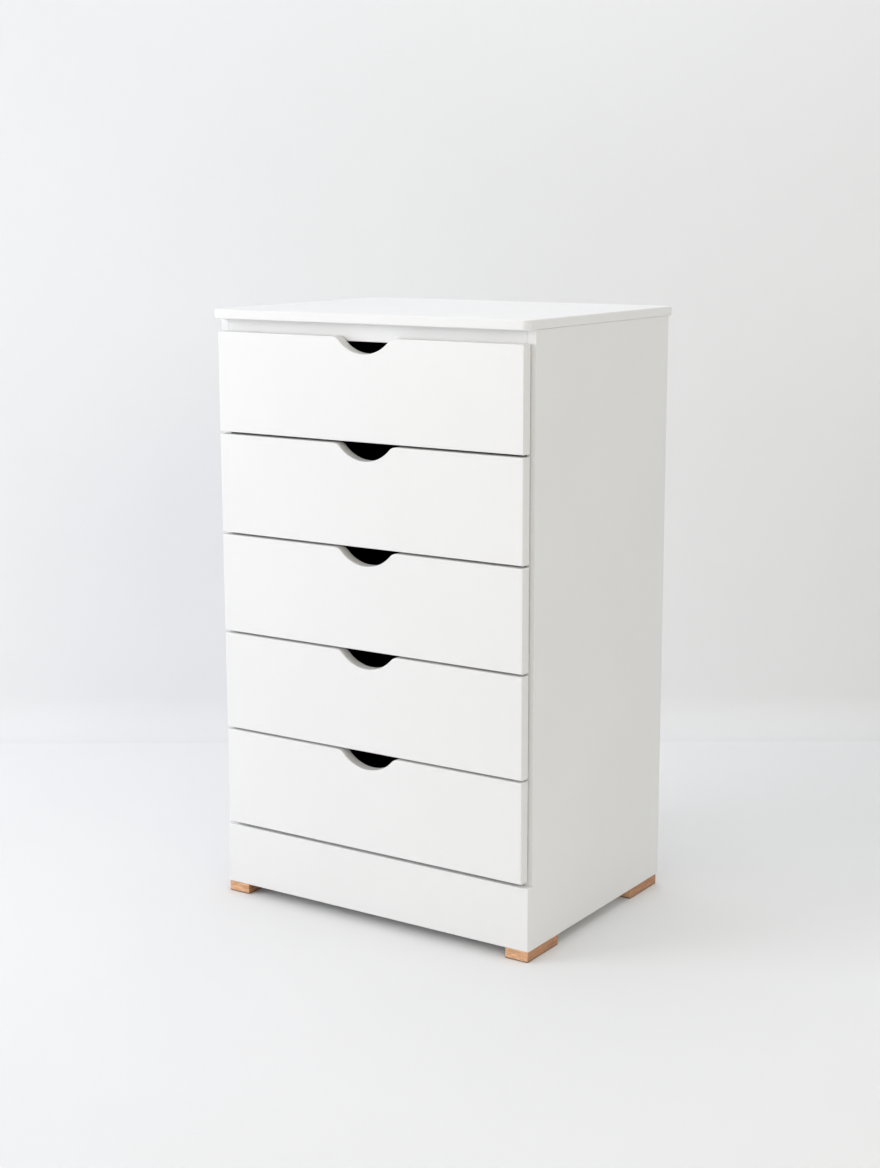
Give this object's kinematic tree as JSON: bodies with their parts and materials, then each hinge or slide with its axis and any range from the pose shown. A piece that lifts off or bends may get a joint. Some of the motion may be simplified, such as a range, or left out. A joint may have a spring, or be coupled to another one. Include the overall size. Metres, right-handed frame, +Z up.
{
  "type": "tall chest of drawers",
  "caption": "Tall white chest of equal overlay drawers with half-moon hand cut-outs, a plinth and flat wooden feet; drawers slide on full-extension runners.",
  "frame": {"origin": "on the floor, below the centre of the chest's overall box", "axes": "+X to the right seen from the front, +Y to the back, +Z up; the drawers open along -Y"},
  "size_m": [0.696, 0.53, 1.153],
  "materials": {
    "white_lacquer": "satin white lacquer on MDF",
    "back_board": "matt white hardboard",
    "beech": "oiled natural beech",
    "dowel_wood": "bare beech dowel",
    "dark_board": "matt charcoal laminate",
    "dark_hardboard": "matt charcoal hardboard",
    "zinc_plated_steel": "bright zinc plating",
    "screw_steel": "zinc plated"
  },
  "bodies": {
    "carcass": {"top_panel": "white_lacquer", "side_panel_left": "white_lacquer", "side_panel_right": "white_lacquer", "bottom_panel": "white_lacquer", "top_front_rail": "white_lacquer", "plinth_board": "white_lacquer", "back_panel": "back_board", "foot_front_left": "beech", "foot_front_right": "beech", "foot_rear_left": "beech", "foot_rear_right": "beech", "carcass_dowels": "dowel_wood", "carcass_screws": "screw_steel", "back_panel_pins": "screw_steel", "runner_cabinet_members": "zinc_plated_steel"},
    "drawer_1": {"drawer_1_front": "white_lacquer", "drawer_1_inner_front": "dark_board", "drawer_1_side_left": "dark_board", "drawer_1_side_right": "dark_board", "drawer_1_back": "dark_board", "drawer_1_bottom": "dark_hardboard", "drawer_1_screws": "screw_steel", "drawer_1_runner_members": "zinc_plated_steel"},
    "drawer_2": {"drawer_2_front": "white_lacquer", "drawer_2_inner_front": "dark_board", "drawer_2_side_left": "dark_board", "drawer_2_side_right": "dark_board", "drawer_2_back": "dark_board", "drawer_2_bottom": "dark_hardboard", "drawer_2_screws": "screw_steel", "drawer_2_runner_members": "zinc_plated_steel"},
    "drawer_3": {"drawer_3_front": "white_lacquer", "drawer_3_inner_front": "dark_board", "drawer_3_side_left": "dark_board", "drawer_3_side_right": "dark_board", "drawer_3_back": "dark_board", "drawer_3_bottom": "dark_hardboard", "drawer_3_screws": "screw_steel", "drawer_3_runner_members": "zinc_plated_steel"},
    "drawer_4": {"drawer_4_front": "white_lacquer", "drawer_4_inner_front": "dark_board", "drawer_4_side_left": "dark_board", "drawer_4_side_right": "dark_board", "drawer_4_back": "dark_board", "drawer_4_bottom": "dark_hardboard", "drawer_4_screws": "screw_steel", "drawer_4_runner_members": "zinc_plated_steel"},
    "drawer_5": {"drawer_5_front": "white_lacquer", "drawer_5_inner_front": "dark_board", "drawer_5_side_left": "dark_board", "drawer_5_side_right": "dark_board", "drawer_5_back": "dark_board", "drawer_5_bottom": "dark_hardboard", "drawer_5_screws": "screw_steel", "drawer_5_runner_members": "zinc_plated_steel"},
    "runner_1": {"runner_1_middle_members": "zinc_plated_steel"},
    "runner_2": {"runner_2_middle_members": "zinc_plated_steel"},
    "runner_3": {"runner_3_middle_members": "zinc_plated_steel"},
    "runner_4": {"runner_4_middle_members": "zinc_plated_steel"},
    "runner_5": {"runner_5_middle_members": "zinc_plated_steel"}
  },
  "joints": [
    {"name": "drawer_1_slide", "type": "slide", "parent": "carcass", "child": "drawer_1", "axis": [0, -1, 0], "range_m": [0, 0.45]},
    {"name": "drawer_2_slide", "type": "slide", "parent": "carcass", "child": "drawer_2", "axis": [0, -1, 0], "range_m": [0, 0.45]},
    {"name": "drawer_3_slide", "type": "slide", "parent": "carcass", "child": "drawer_3", "axis": [0, -1, 0], "range_m": [0, 0.45]},
    {"name": "drawer_4_slide", "type": "slide", "parent": "carcass", "child": "drawer_4", "axis": [0, -1, 0], "range_m": [0, 0.45]},
    {"name": "drawer_5_slide", "type": "slide", "parent": "carcass", "child": "drawer_5", "axis": [0, -1, 0], "range_m": [0, 0.45]},
    {"name": "runner_1_slide", "type": "slide", "parent": "carcass", "child": "runner_1", "axis": [0, -1, 0], "range_m": [0, 0.225]},
    {"name": "runner_2_slide", "type": "slide", "parent": "carcass", "child": "runner_2", "axis": [0, -1, 0], "range_m": [0, 0.225]},
    {"name": "runner_3_slide", "type": "slide", "parent": "carcass", "child": "runner_3", "axis": [0, -1, 0], "range_m": [0, 0.225]},
    {"name": "runner_4_slide", "type": "slide", "parent": "carcass", "child": "runner_4", "axis": [0, -1, 0], "range_m": [0, 0.225]},
    {"name": "runner_5_slide", "type": "slide", "parent": "carcass", "child": "runner_5", "axis": [0, -1, 0], "range_m": [0, 0.225]}
  ],
  "couplings": [
    {"joint": "runner_1_slide", "follows": "drawer_1_slide", "ratio": 0.5},
    {"joint": "runner_2_slide", "follows": "drawer_2_slide", "ratio": 0.5},
    {"joint": "runner_3_slide", "follows": "drawer_3_slide", "ratio": 0.5},
    {"joint": "runner_4_slide", "follows": "drawer_4_slide", "ratio": 0.5},
    {"joint": "runner_5_slide", "follows": "drawer_5_slide", "ratio": 0.5}
  ]
}
